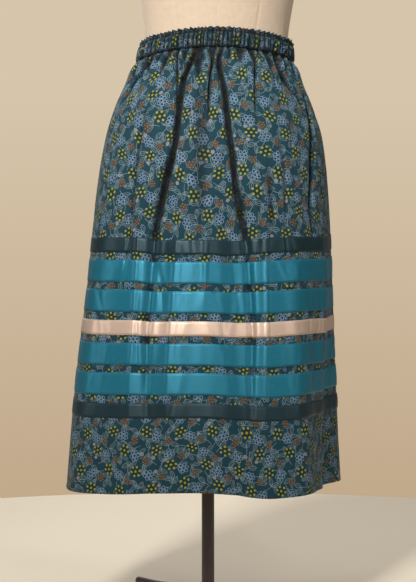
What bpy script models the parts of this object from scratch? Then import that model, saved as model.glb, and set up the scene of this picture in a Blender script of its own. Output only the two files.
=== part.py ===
"""A gathered ribbon skirt on a limbless dress form with a tripod stand.

Metres, +Z up. The origin is on the floor, on the pole's axis. The wearer's front faces -Y.
A direction round the skirt is an angle in degrees: 0 is centre front, 90 the side at +X,
180 centre back and -90 the side at -X.
"""
import math

import bmesh
import bpy
from mathutils import Matrix, Vector

# ---- driving dimensions ----

GAP = 0.0003                # between pieces that touch in the real thing
COLUMNS = 56                # facets round the skirt, half of them on each panel
CLOTH_WALL = 0.0014         # printed cotton with its gathers' fullness
RIBBON_WALL = 0.0010        # satin ribbon and its edge stitching

SEAM_HEIGHT = 0.992         # waist seam above the floor, at the sides
SEAM_TILT = 0.022           # the seam is this much higher in front and lower behind
HEM_TO_SEAM = 0.7605        # at the sides
HEM_TO_RIBBONS = 0.130
FOLDS_BEGIN = 0.070         # the folds reach their full depth this far below the seam
FOLD_CREST = 0.4            # how much a trough pushes up the cloth beside it

BAND_HEIGHT = 0.033         # elastic casing with its ruffled heading
BAND_WALL = 0.0030          # two layers of cloth and the elastic
BAND_TOP_SHIFT = 0.003      # the casing's top leans a little towards +X

POLE_RADIUS = 0.0115
PLATE_HEIGHT = 0.006
COLLAR_HEIGHT = 0.036
COLLAR_RADIUS = 0.021
HUB_RADIUS = 0.030
HUB_BOTTOM = 0.006
HUB_TOP = 0.038
LEG_RADIUS = 0.007
LEG_REACH = 0.202
LEG_ANGLES = {"rear_left": 132, "front": 252, "right": 12}   # counter-clockwise from +X
FOOT_RADIUS = 0.016
FOOT_HEIGHT = 0.008
FOOT_REACH = 0.186

# Ribbons from the hem up: name, width, bare print below it
RIBBONS = (
    ("ribbon_7_dark_teal", 0.0254, 0.0),
    ("ribbon_6_teal", 0.0381, 0.0140),
    ("ribbon_5_teal", 0.0381, 0.0127),
    ("ribbon_4_cream", 0.0254, 0.0130),
    ("ribbon_3_teal", 0.0381, 0.0140),
    ("ribbon_2_teal", 0.0381, 0.0127),
    ("ribbon_1_dark_teal", 0.0254, 0.0127),
)

# The skirt's sections: drop below the waist seam, half width, centre's x,
# depth in front, depth behind, squareness (2 is an ellipse)
SKIRT_SECTIONS = (
    (0.000, 0.1398, 0.0126, 0.106, 0.106, 2.00),
    (0.045, 0.1625, 0.0110, 0.123, 0.126, 2.05),
    (0.085, 0.1800, 0.0101, 0.136, 0.145, 2.10),
    (0.145, 0.1985, 0.0100, 0.152, 0.164, 2.15),
    (0.245, 0.2125, 0.0076, 0.168, 0.180, 2.25),
    (0.400, 0.2240, 0.0042, 0.181, 0.189, 2.35),
    (0.570, 0.2385, -0.0010, 0.191, 0.195, 2.40),
    (0.7605, 0.2520, -0.0030, 0.200, 0.202, 2.40),
)

# Angle round the skirt, the hem's height above the floor there, and how far the top ribbon
# rises above level
HEM_LINE = (
    (-180, 0.2280, 0.004), (-130, 0.2265, 0.008), (-90, 0.2262, 0.011), (-62, 0.2246, 0.0133),
    (-47, 0.2265, 0.0118), (-39, 0.2282, 0.0098), (-31, 0.2303, 0.0036), (-18, 0.2330, 0.0012),
    (0, 0.2336, 0.0006), (14, 0.2300, 0.0020), (23, 0.2243, 0.0108), (31, 0.2218, 0.0152),
    (40, 0.2227, 0.0160), (56, 0.2248, 0.0145), (75, 0.2236, 0.0150), (95, 0.2262, 0.0155),
    (130, 0.2270, 0.0080), (180, 0.2280, 0.004),
)

# Folds: angle below the seam, at the top ribbon and at the hem, half width in degrees,
# depth below the seam, at the top ribbon and at the hem (a minus depth is a ridge)
FOLDS = (
    (-24, -27, -30, 10, 0.0060, 0.0080, 0.0060),
    (2, 14, 20, 10, 0.0065, 0.0080, 0.0060),
    (58, 61, 66, 14, 0.0040, 0.0080, 0.0300),
    (76, 79, 81, 11, 0.0000, 0.0050, 0.0360),
    (-58, -60, -65, 14, 0.0040, -0.0060, -0.0120),
    (-95, -98, -100, 15, 0.0000, 0.0060, 0.0170),
    (122, 120, 118, 10, 0.0040, 0.0070, 0.0140),
    (150, 147, 144, 10, 0.0060, 0.0080, 0.0090),
    (180, 176, 171, 10, 0.0060, 0.0080, 0.0110),
    (-152, -150, -146, 10, 0.0050, 0.0080, 0.0100),
)

# The torso's sections: height above the floor, half width, centre's x,
# depth in front, depth behind, squareness
TORSO_SECTIONS = (
    (0.745, 0.150, 0.006, 0.104, 0.122, 2.2),
    (0.800, 0.162, 0.008, 0.116, 0.137, 2.2),
    (0.860, 0.166, 0.010, 0.119, 0.134, 2.2),
    (0.910, 0.153, 0.012, 0.110, 0.116, 2.2),
    (0.950, 0.139, 0.0135, 0.1035, 0.1025, 2.1),
    (0.972, 0.134, 0.0140, 0.1015, 0.1005, 2.0),
    (0.995, 0.1310, 0.0145, 0.1002, 0.1000, 2.0),
    (1.020, 0.1300, 0.0150, 0.1002, 0.1005, 2.0),
    (1.048, 0.1310, 0.0155, 0.1004, 0.1020, 2.0),
    (1.100, 0.138, 0.017, 0.109, 0.106, 2.1),
    (1.150, 0.147, 0.018, 0.123, 0.109, 2.1),
    (1.200, 0.155, 0.018, 0.132, 0.112, 2.1),
    (1.250, 0.160, 0.018, 0.127, 0.115, 2.2),
    (1.300, 0.166, 0.018, 0.113, 0.115, 2.3),
    (1.345, 0.169, 0.018, 0.098, 0.108, 2.3),
    (1.380, 0.154, 0.018, 0.083, 0.095, 2.2),
    (1.405, 0.121, 0.018, 0.070, 0.080, 2.1),
    (1.425, 0.086, 0.018, 0.060, 0.067, 2.0),
    (1.450, 0.062, 0.018, 0.054, 0.058, 2.0),
    (1.500, 0.056, 0.018, 0.050, 0.053, 2.0),
)
TORSO_COLUMNS = 32

# ---- scene and materials ----


def clear_scene():
    for obj in list(bpy.data.objects):
        bpy.data.objects.remove(obj, do_unlink=True)


def new_material(name, colour, roughness, metallic=0.0):
    material = bpy.data.materials.new(name)
    material.use_nodes = True
    shader = material.node_tree.nodes["Principled BSDF"]
    shader.inputs["Base Color"].default_value = (*colour, 1.0)
    shader.inputs["Roughness"].default_value = roughness
    shader.inputs["Metallic"].default_value = metallic
    return material


def new_object(name, bm, material, collection, smooth=True):
    """Turn a bmesh into a named object of the skirt's collection."""
    mesh = bpy.data.meshes.new(name)
    bm.to_mesh(mesh)
    bm.free()
    if smooth:
        mesh.shade_smooth()
        mesh.set_sharp_from_angle(angle=math.radians(50))
    obj = bpy.data.objects.new(name, mesh)
    obj.data.materials.append(material)
    collection.objects.link(obj)
    return obj


# ---- shape functions ----


def read_table(table, at):
    """Read every column of a table at one value of its first column, on a smooth curve."""
    at = min(max(at, table[0][0]), table[-1][0])
    last = len(table) - 2
    row = next(i for i in range(last + 1) if at <= table[i + 1][0] or i == last)
    low, high = table[row], table[row + 1]
    before = table[max(row - 1, 0)]
    after = table[min(row + 2, last + 1)]
    span = high[0] - low[0]
    t = (at - low[0]) / span
    values = []
    for k in range(1, len(low)):
        slope_low = (high[k] - before[k]) / (high[0] - before[0]) * span
        slope_high = (after[k] - low[k]) / (after[0] - low[0]) * span
        values.append(
            (2 * t**3 - 3 * t**2 + 1) * low[k] + (t**3 - 2 * t**2 + t) * slope_low
            + (3 * t**2 - 2 * t**3) * high[k] + (t**3 - t**2) * slope_high
        )
    return values


def smooth_step(low, high, value):
    t = min(max((value - low) / (high - low), 0.0), 1.0)
    return t * t * (3 - 2 * t)


def section_radius(angle, half_width, front, back, squareness):
    """Distance from a section's centre to its outline, in the direction of the angle."""
    across = abs(math.sin(math.radians(angle))) / half_width
    along = abs(math.cos(math.radians(angle))) / (front if abs(angle) < 90 else back)
    return (across**squareness + along**squareness) ** (-1 / squareness)


def ribbon_edges():
    """Each ribbon's name with its lower and upper edge, as heights above the hem."""
    edges = []
    height = HEM_TO_RIBBONS
    for name, width, bare in RIBBONS:
        height += bare
        edges.append((name, height, height + width))
        height += width
    return edges


RIBBON_EDGES = ribbon_edges()
TOP_RIBBON_DROP = HEM_TO_SEAM - RIBBON_EDGES[-1][2]


def fold_depth(angle, drop):
    """How far the folds draw the cloth in. Each trough pushes up a low crest on both sides."""
    upper = smooth_step(0.0, TOP_RIBBON_DROP, drop)
    lower = smooth_step(TOP_RIBBON_DROP, HEM_TO_SEAM, drop)
    total = 0.0
    for seam_angle, ribbon_angle, hem_angle, width, seam, ribbon, hem in FOLDS:
        middle = seam_angle + (ribbon_angle - seam_angle) * upper + (hem_angle - ribbon_angle) * lower
        depth = seam + (ribbon - seam) * upper + (hem - ribbon) * lower
        away = ((angle - middle + 180) % 360 - 180) / width
        total += depth * (1 - FOLD_CREST * away**2) * math.exp(-(away**2))
    return total * smooth_step(0.0, FOLDS_BEGIN, drop)


def cloth_height(angle, drop):
    """Height above the floor: the ribbons nearly follow the hem, and the seam is tilted."""
    hem, rise = read_table(HEM_LINE, angle)
    stretch = 1 + rise / (HEM_TO_SEAM - TOP_RIBBON_DROP)
    if drop >= TOP_RIBBON_DROP:
        return hem + (HEM_TO_SEAM - drop) * stretch
    top_ribbon = hem + (HEM_TO_SEAM - TOP_RIBBON_DROP) * stretch
    seam = SEAM_HEIGHT + SEAM_TILT * math.cos(math.radians(angle))
    return seam + (top_ribbon - seam) * drop / TOP_RIBBON_DROP


def cloth_point(angle, drop):
    """A point on the skirt's outer surface."""
    half_width, centre, front, back, squareness = read_table(SKIRT_SECTIONS, drop)
    radius = section_radius(angle, half_width, front, back, squareness)
    radius -= fold_depth(angle, drop)
    turn = math.radians(angle)
    return Vector((
        centre + radius * math.sin(turn),
        -radius * math.cos(turn),
        cloth_height(angle, drop),
    ))


def cloth_normal(angle, drop):
    """The outward normal of the skirt's outer surface."""
    step_angle, step_drop = 1.5, 0.004
    low = max(drop - step_drop, 0.0)
    high = min(drop + step_drop, HEM_TO_SEAM)
    across = cloth_point(angle + step_angle, drop) - cloth_point(angle - step_angle, drop)
    down = cloth_point(angle, high) - cloth_point(angle, low)
    return down.cross(across).normalized()


# ---- mesh makers ----


def grid_sheet(columns, rows, place):
    """An open grid of triangles whose point (column, row) goes to place(column, row)."""
    bm = bmesh.new()
    bmesh.ops.create_grid(bm, x_segments=columns, y_segments=rows, size=1.0)
    for vert in bm.verts:
        column = round((vert.co.x + 1) / 2 * columns)
        row = round((vert.co.y + 1) / 2 * rows)
        vert.co = place(column, row)
    bmesh.ops.triangulate(bm, faces=bm.faces, quad_method="FIXED")
    return bm


def thicken(obj, wall):
    """Give an open sheet its wall, inwards from the sheet."""
    solidify = obj.modifiers.new("Wall", "SOLIDIFY")
    solidify.thickness = wall
    solidify.offset = -1.0


def panel_angles(side, drop):
    """The columns' angles on the front or the back panel, trimmed by half the seam gap."""
    half_width = read_table(SKIRT_SECTIONS, drop)[0]
    trim = math.degrees(GAP / 2 / half_width)
    count = COLUMNS // 2
    reach = 90 - trim
    middle = 0 if side == "front" else 180
    angles = [middle - reach + 2 * reach * i / count for i in range(count + 1)]
    return [a - 360 if a > 180 else a for a in angles]


def panel_drops():
    """The rows of a panel, seam to hem, with one at each edge of every ribbon."""
    yoke = [0.0, 0.018, 0.045, 0.085, 0.135, 0.195, 0.260]
    ribbons = []
    for name, low, high in reversed(RIBBON_EDGES):
        ribbons += [HEM_TO_SEAM - high, HEM_TO_SEAM - low]
    return yoke + ribbons + [HEM_TO_SEAM - HEM_TO_RIBBONS / 2, HEM_TO_SEAM]


def skirt_strip(side, drops, lift, wall):
    """A closed strip of cloth over the panel's own columns at the given drops.

    Its inner face is lifted off the panel's outer face, or is the panel's wall if lift is 0.
    Both faces follow the skirt's own normals, so the pieces keep their gap at the side seams.
    """
    angles = {drop: panel_angles(side, drop) for drop in drops}
    normals = {}

    def place(column, row):
        drop = drops[-1 - row]
        angle = angles[drop][column]
        normal = cloth_normal(angle, drop)
        outer = cloth_point(angle, drop) + normal * lift
        normals[outer.to_tuple(6)] = normal
        return outer

    bm = grid_sheet(COLUMNS // 2, len(drops) - 1, place)
    inward = bm.verts.layers.float_vector.new("inward")
    for vert in bm.verts:
        vert[inward] = normals[vert.co.to_tuple(6)] * -wall
    inner = bmesh.ops.extrude_face_region(bm, geom=bm.faces[:], use_keep_orig=True)
    for vert in inner["geom"]:
        if isinstance(vert, bmesh.types.BMVert):
            vert.co += vert[inward]
    bmesh.ops.recalc_face_normals(bm, faces=bm.faces)
    return bm


def ring_loft(sections, columns, place, capped):
    """A closed ring of columns at each section. Capped, it is a whole body."""
    bm = grid_sheet(columns, len(sections) - 1, lambda c, r: place(360.0 * c / columns - 180, sections[r]))
    bmesh.ops.remove_doubles(bm, verts=bm.verts, dist=0.00001)
    if capped:
        bmesh.ops.holes_fill(bm, edges=[e for e in bm.edges if e.is_boundary], sides=0)
        bmesh.ops.recalc_face_normals(bm, faces=bm.faces)
    return bm


def turned(name, profile, material, collection, segments=24):
    """A profile of (radius, height) points, turned about its own Z axis."""
    mesh = bpy.data.meshes.new(name)
    bm = bmesh.new()
    verts = [bm.verts.new((radius, 0, height)) for radius, height in profile]
    for first, second in zip(verts, verts[1:]):
        bm.edges.new((first, second))
    if profile[0][0] > 0:
        bm.edges.new((verts[-1], verts[0]))
    bm.to_mesh(mesh)
    bm.free()
    obj = bpy.data.objects.new(name, mesh)
    screw = obj.modifiers.new("Turn", "SCREW")
    screw.steps = segments
    screw.render_steps = segments
    screw.use_merge_vertices = True
    screw.merge_threshold = 0.00001
    screw.use_smooth_shade = True
    obj.data.materials.append(material)
    collection.objects.link(obj)
    return obj


# ---- the skirt ----


def build_panels(cotton, collection):
    drops = panel_drops()
    drops[0] = GAP
    for side in ("front", "back"):
        new_object(f"skirt_{side}", skirt_strip(side, drops, 0.0, CLOTH_WALL), cotton, collection)


def build_ribbons(satins, collection):
    """Each ribbon lies on the front and the back panel, and ends in the side seams."""
    for name, low, high in RIBBON_EDGES:
        for side in ("front", "back"):
            drops = [HEM_TO_SEAM - high, HEM_TO_SEAM - low]
            strip = skirt_strip(side, drops, GAP + RIBBON_WALL, RIBBON_WALL)
            colour = name.split("_", 2)[2]
            new_object(f"{name}_{side}", strip, satins[colour], collection)


def build_waistband(cotton, collection):
    """The casing: a soft band that swells between the waist seam and the heading's stitching."""
    half_width, centre, front, back, squareness = SKIRT_SECTIONS[0][1:]
    # height up the band as a part of its height, swell outwards
    profile = ((0.0, 0.0), (0.35, 0.0022), (0.75, 0.0008), (1.0, 0.0004))

    def place(angle, section):
        part, swell = section
        radius = section_radius(angle, half_width - 0.0041 * part, front, back, squareness)
        turn = math.radians(angle)
        return Vector((
            centre + BAND_TOP_SHIFT * part + (radius + swell) * math.sin(turn),
            -(radius + swell) * math.cos(turn),
            SEAM_HEIGHT + SEAM_TILT * math.cos(turn) + BAND_HEIGHT * part,
        ))

    band = new_object("waistband_casing", ring_loft(profile, COLUMNS, place, False), cotton, collection)
    thicken(band, BAND_WALL)


# ---- the dress form ----


def build_torso(cover, collection):
    def place(angle, height):
        half_width, centre, front, back, squareness = read_table(TORSO_SECTIONS, height)
        radius = section_radius(angle, half_width, front, back, squareness)
        turn = math.radians(angle)
        return Vector((centre + radius * math.sin(turn), -radius * math.cos(turn), height))

    heights = [section[0] for section in TORSO_SECTIONS]
    new_object("form_torso", ring_loft(heights, TORSO_COLUMNS, place, True), cover, collection)


def build_neck_cap(wood, collection):
    """A turned cap with a small knob, on top of the neck."""
    profile = (
        (0.000, 0.046), (0.007, 0.044), (0.011, 0.037), (0.009, 0.029), (0.007, 0.022),
        (0.020, 0.017), (0.040, 0.013), (0.049, 0.006), (0.049, 0.000), (0.000, 0.000),
    )
    cap = turned("neck_cap", profile, wood, collection)
    cap.location = (TORSO_SECTIONS[-1][2], 0, TORSO_SECTIONS[-1][0] + GAP)
    return cap


def build_underside_plate(metal, collection):
    """The flat plate under the torso that the pole's collar is screwed to."""
    height, half_width, centre, front, back = TORSO_SECTIONS[0][:5]
    bm = bmesh.new()
    bmesh.ops.create_cone(
        bm, cap_ends=True, segments=32, radius1=1.0, radius2=1.0, depth=PLATE_HEIGHT,
        matrix=Matrix.Diagonal((half_width * 0.9, (front + back) / 2 * 0.9, 1.0, 1.0)),
    )
    plate = new_object("underside_plate", bm, metal, collection)
    plate.location = (centre, (back - front) / 2, height - GAP - PLATE_HEIGHT / 2)
    return height - 2 * GAP - PLATE_HEIGHT


def build_stand(metal, rubber, collection):
    """Collar, pole, hub, three bent legs and their rubber feet, under the torso's plate."""
    stand = bpy.data.objects.new("stand", None)
    collection.objects.link(stand)
    pole_top = build_underside_plate(metal, collection)

    bore = POLE_RADIUS + GAP
    collar_profile = (
        (bore, pole_top), (COLLAR_RADIUS * 1.6, pole_top), (COLLAR_RADIUS * 1.6, pole_top - 0.004),
        (COLLAR_RADIUS, pole_top - 0.007), (COLLAR_RADIUS, pole_top - COLLAR_HEIGHT),
        (bore, pole_top - COLLAR_HEIGHT),
    )
    turned("pole_collar", collar_profile, metal, collection).parent = stand

    bm = bmesh.new()
    length = pole_top - HUB_TOP - GAP
    bmesh.ops.create_cone(
        bm, cap_ends=True, segments=24, radius1=POLE_RADIUS, radius2=POLE_RADIUS, depth=length,
    )
    pole = new_object("pole", bm, metal, collection)
    pole.location = (0, 0, HUB_TOP + GAP + length / 2)
    pole.parent = stand

    hub_profile = (
        (0.000, HUB_TOP), (0.016, HUB_TOP), (0.019, HUB_TOP - 0.005), (HUB_RADIUS, HUB_TOP - 0.008),
        (HUB_RADIUS, HUB_BOTTOM + 0.004), (HUB_RADIUS - 0.004, HUB_BOTTOM), (0.000, HUB_BOTTOM),
    )
    turned("base_hub", hub_profile, metal, collection).parent = stand

    for name, angle in LEG_ANGLES.items():
        leg = build_leg(f"leg_{name}", metal, collection)
        leg.rotation_euler.z = math.radians(angle)
        leg.parent = stand
        bm = bmesh.new()
        bmesh.ops.create_cone(
            bm, cap_ends=True, segments=20, radius1=FOOT_RADIUS, radius2=FOOT_RADIUS * 0.85,
            depth=FOOT_HEIGHT,
        )
        foot = new_object(f"foot_{name}", bm, rubber, collection)
        turn = math.radians(angle)
        foot.location = (FOOT_REACH * math.cos(turn), FOOT_REACH * math.sin(turn), FOOT_HEIGHT / 2)
        foot.parent = stand


def build_leg(name, metal, collection):
    """A tube that leaves the hub level, bends down and lies level again over its foot."""
    start = HUB_RADIUS + GAP
    high = HUB_BOTTOM + 0.014
    low = FOOT_HEIGHT + GAP + LEG_RADIUS
    steps = 8
    curve = bpy.data.curves.new(name, "CURVE")
    curve.dimensions = "3D"
    curve.bevel_depth = LEG_RADIUS
    curve.bevel_resolution = 3
    curve.use_fill_caps = True
    spline = curve.splines.new("POLY")
    route = [(start, high)]
    for i in range(steps + 1):
        t = i / steps
        reach = start + 0.020 + (FOOT_REACH - 0.030 - start - 0.020) * t
        route.append((reach, high + (low - high) * smooth_step(0, 1, t)))
    route.append((LEG_REACH, low))
    spline.points.add(len(route) - 1)
    for point, (reach, height) in zip(spline.points, route):
        point.co = (reach, 0, height, 1)
    leg = bpy.data.objects.new(name, curve)
    leg.data.materials.append(metal)
    collection.objects.link(leg)
    return leg


# ---- build ----

clear_scene()
parts = bpy.data.collections.new("ribbon_skirt")
bpy.context.scene.collection.children.link(parts)

cotton = new_material("printed_cotton", (0.030, 0.105, 0.125), 0.85)
satins = {
    "teal": new_material("teal_satin", (0.013, 0.212, 0.309), 0.35),
    "dark_teal": new_material("dark_teal_satin", (0.013, 0.042, 0.052), 0.35),
    "cream": new_material("cream_satin", (0.77, 0.56, 0.45), 0.35),
}
cover = new_material("linen_cover", (0.60, 0.50, 0.40), 0.9)
wood = new_material("turned_beech", (0.42, 0.24, 0.12), 0.5)
metal = new_material("painted_steel", (0.030, 0.022, 0.020), 0.4)
rubber = new_material("black_rubber", (0.02, 0.02, 0.02), 0.8)

build_panels(cotton, parts)
build_ribbons(satins, parts)
build_waistband(cotton, parts)
build_torso(cover, parts)
build_neck_cap(wood, parts)
build_stand(metal, rubber, parts)
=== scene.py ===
"""A ribbon skirt on a dress form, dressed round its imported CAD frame.

Metres, +Z up, the wearer's front towards -Y. A direction round the skirt is an angle in
degrees: 0 centre front, 90 the side at +X, 180 centre back, -90 the side at -X. A drop is
how far down the cloth a point lies below the waist seam.
"""
import math

import bmesh
import bpy
import numpy as np
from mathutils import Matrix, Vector


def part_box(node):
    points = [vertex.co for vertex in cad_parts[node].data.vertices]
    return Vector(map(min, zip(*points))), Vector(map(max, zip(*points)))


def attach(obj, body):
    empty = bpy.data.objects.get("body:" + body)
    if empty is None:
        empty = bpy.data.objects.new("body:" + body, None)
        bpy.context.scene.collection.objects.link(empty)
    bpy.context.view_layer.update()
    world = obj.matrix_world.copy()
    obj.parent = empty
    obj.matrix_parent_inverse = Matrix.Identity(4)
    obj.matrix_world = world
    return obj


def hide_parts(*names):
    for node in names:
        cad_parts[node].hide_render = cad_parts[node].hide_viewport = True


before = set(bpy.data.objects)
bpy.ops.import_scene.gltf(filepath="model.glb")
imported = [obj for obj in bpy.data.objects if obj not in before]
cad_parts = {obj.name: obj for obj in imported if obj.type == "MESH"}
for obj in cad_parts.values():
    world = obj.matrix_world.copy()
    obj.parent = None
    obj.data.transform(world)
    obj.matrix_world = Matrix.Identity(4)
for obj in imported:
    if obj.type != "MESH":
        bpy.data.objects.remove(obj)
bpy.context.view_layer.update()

# ---- The skirt's cut ----
# Two panels of printed quilting cotton, front and back, sewn together at the sides and
# gathered into an elastic casing. The shape is the CAD's, so its tables are repeated here.

SEAM_HEIGHT = 0.992         # waist seam above the floor, at the sides
SEAM_TILT = 0.022           # higher in front by this much, and lower behind
HEM_TO_SEAM = 0.7605
HEM_TO_RIBBONS = 0.130
FOLDS_BEGIN = 0.070
FOLD_CREST = 0.4

# name, width, bare print below it, from the hem up
RIBBONS = (
    ("ribbon_7_dark_teal", 0.0254, 0.0),
    ("ribbon_6_teal", 0.0381, 0.0140),
    ("ribbon_5_teal", 0.0381, 0.0127),
    ("ribbon_4_cream", 0.0254, 0.0130),
    ("ribbon_3_teal", 0.0381, 0.0140),
    ("ribbon_2_teal", 0.0381, 0.0127),
    ("ribbon_1_dark_teal", 0.0254, 0.0127),
)
RIBBON_STACK = sum(width + bare for name, width, bare in RIBBONS)
TOP_RIBBON_DROP = HEM_TO_SEAM - HEM_TO_RIBBONS - RIBBON_STACK

# drop, half width, centre's x, depth in front, depth behind, squareness (2 is an ellipse)
SKIRT_SECTIONS = np.array((
    (0.000, 0.1398, 0.0126, 0.106, 0.106, 2.00),
    (0.045, 0.1625, 0.0110, 0.123, 0.126, 2.05),
    (0.085, 0.1800, 0.0101, 0.136, 0.145, 2.10),
    (0.145, 0.1985, 0.0100, 0.152, 0.164, 2.15),
    (0.245, 0.2125, 0.0076, 0.168, 0.180, 2.25),
    (0.400, 0.2240, 0.0042, 0.181, 0.189, 2.35),
    (0.570, 0.2385, -0.0010, 0.191, 0.195, 2.40),
    (0.7605, 0.2520, -0.0030, 0.200, 0.202, 2.40),
))
# angle, the hem's height above the floor, how far the top ribbon rises above level
HEM_LINE = np.array((
    (-180, 0.2280, 0.004), (-130, 0.2265, 0.008), (-90, 0.2262, 0.011), (-62, 0.2246, 0.0133),
    (-47, 0.2265, 0.0118), (-39, 0.2282, 0.0098), (-31, 0.2303, 0.0036), (-18, 0.2330, 0.0012),
    (0, 0.2336, 0.0006), (14, 0.2300, 0.0020), (23, 0.2243, 0.0108), (31, 0.2218, 0.0152),
    (40, 0.2227, 0.0160), (56, 0.2248, 0.0145), (75, 0.2236, 0.0150), (95, 0.2262, 0.0155),
    (130, 0.2270, 0.0080), (180, 0.2280, 0.004),
))
# angle below the seam, at the top ribbon, at the hem; half width in degrees; depth below
# the seam, at the top ribbon, at the hem (a minus depth is a ridge)
FOLDS = (
    (-24, -27, -30, 10, 0.0060, 0.0080, 0.0060),
    (2, 14, 20, 10, 0.0065, 0.0080, 0.0060),
    (58, 61, 66, 14, 0.0040, 0.0080, 0.0300),
    (76, 79, 81, 11, 0.0000, 0.0050, 0.0360),
    (-58, -60, -65, 14, 0.0040, -0.0060, -0.0120),
    (-95, -98, -100, 15, 0.0000, 0.0060, 0.0170),
    (122, 120, 118, 10, 0.0040, 0.0070, 0.0140),
    (150, 147, 144, 10, 0.0060, 0.0080, 0.0090),
    (180, 176, 171, 10, 0.0060, 0.0080, 0.0110),
    (-152, -150, -146, 10, 0.0050, 0.0080, 0.0100),
)


def read_table(table, at):
    """Every column of a table at each value of its first column, on a smooth curve."""
    at = np.clip(at, table[0, 0], table[-1, 0])
    row = np.clip(np.searchsorted(table[:, 0], at, side="right") - 1, 0, len(table) - 2)
    low, high = table[row], table[row + 1]
    before, after = table[np.maximum(row - 1, 0)], table[np.minimum(row + 2, len(table) - 1)]
    span = high[..., :1] - low[..., :1]
    t = (np.asarray(at)[..., None] - low[..., :1]) / span
    slope_low = (high - before) / (high[..., :1] - before[..., :1]) * span
    slope_high = (after - low) / (after[..., :1] - low[..., :1]) * span
    values = (
        (2 * t**3 - 3 * t**2 + 1) * low + (t**3 - 2 * t**2 + t) * slope_low
        + (3 * t**2 - 2 * t**3) * high + (t**3 - t**2) * slope_high
    )
    return np.moveaxis(values, -1, 0)[1:]


def smooth_step(low, high, value):
    t = np.clip((value - low) / (high - low), 0.0, 1.0)
    return t * t * (3 - 2 * t)


def bell(away):
    """A soft hump, 1 where away is 0 and all but gone where it is 2."""
    return np.exp(-(away**2))


def section_radius(angle, half_width, front, back, squareness):
    """Distance from a section's centre to its outline, in the direction of the angle."""
    turn = np.radians(angle)
    depth = np.where(np.cos(turn) > 0, front, back)
    across, along = np.abs(np.sin(turn)) / half_width, np.abs(np.cos(turn)) / depth
    return (across**squareness + along**squareness) ** (-1 / squareness)


def fold_depth(angle, drop):
    """How far the CAD's folds draw the cloth in. A trough pushes up a crest on both sides."""
    upper = smooth_step(0.0, TOP_RIBBON_DROP, drop)
    lower = smooth_step(TOP_RIBBON_DROP, HEM_TO_SEAM, drop)
    total = 0.0
    for seam_angle, ribbon_angle, hem_angle, width, seam, ribbon, hem in FOLDS:
        middle = seam_angle + (ribbon_angle - seam_angle) * upper + (hem_angle - ribbon_angle) * lower
        depth = seam + (ribbon - seam) * upper + (hem - ribbon) * lower
        away = ((angle - middle + 180) % 360 - 180) / width
        total = total + depth * (1 - FOLD_CREST * away**2) * bell(away)
    return total * smooth_step(0.0, FOLDS_BEGIN, drop)


def cloth_height(angle, drop):
    hem, rise = read_table(HEM_LINE, (angle + 180) % 360 - 180)
    stretch = 1 + rise / (HEM_TO_SEAM - TOP_RIBBON_DROP)
    top_ribbon = hem + (HEM_TO_SEAM - TOP_RIBBON_DROP) * stretch
    seam = SEAM_HEIGHT + SEAM_TILT * np.cos(np.radians(angle))
    sloping = seam + (top_ribbon - seam) * drop / TOP_RIBBON_DROP
    return np.where(drop >= TOP_RIBBON_DROP, hem + (HEM_TO_SEAM - drop) * stretch, sloping)


# ---- Gathers and creases ----
# Elastic draws about 1.20 m of cloth into the waist, so soft pipes with sharp troughs between
# them start at the seam, and a few long creases run from them down to the ribbons.

GATHER_PUFF = 0.0042        # the gathers swell out under the seam, which is itself drawn in
SEAM_TUCK = 0.0030
SIDE_SEAM_SINK = 0.0014
HEM_TURNING = 0.0006        # the turned-up cloth stands out a little at the hem

# angle of each ridge at the seam; depth of the trough after it, and how far down that runs
FRONT_RIDGES = (
    (-86, 0.0110, 0.040), (-78, 0.0120, 0.060), (-70, 0.0110, 0.045), (-62, 0.0115, 0.055),
    (-55, 0.0105, 0.036), (-47.2, 0.0120, 0.056), (-38, 0.0085, 0.034), (-30.8, 0.0120, 0.042),
    (-23.2, 0.0140, 0.070), (-8.2, 0.0135, 0.036), (2.8, 0.0100, 0.030), (10, 0.0090, 0.036),
    (17, 0.0115, 0.040), (29, 0.0140, 0.036), (37.8, 0.0100, 0.028), (42.8, 0.0130, 0.050),
    (52.8, 0.0130, 0.070), (61.8, 0.0120, 0.056), (69, 0.0120, 0.060), (78, 0.0110, 0.050),
)
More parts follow.
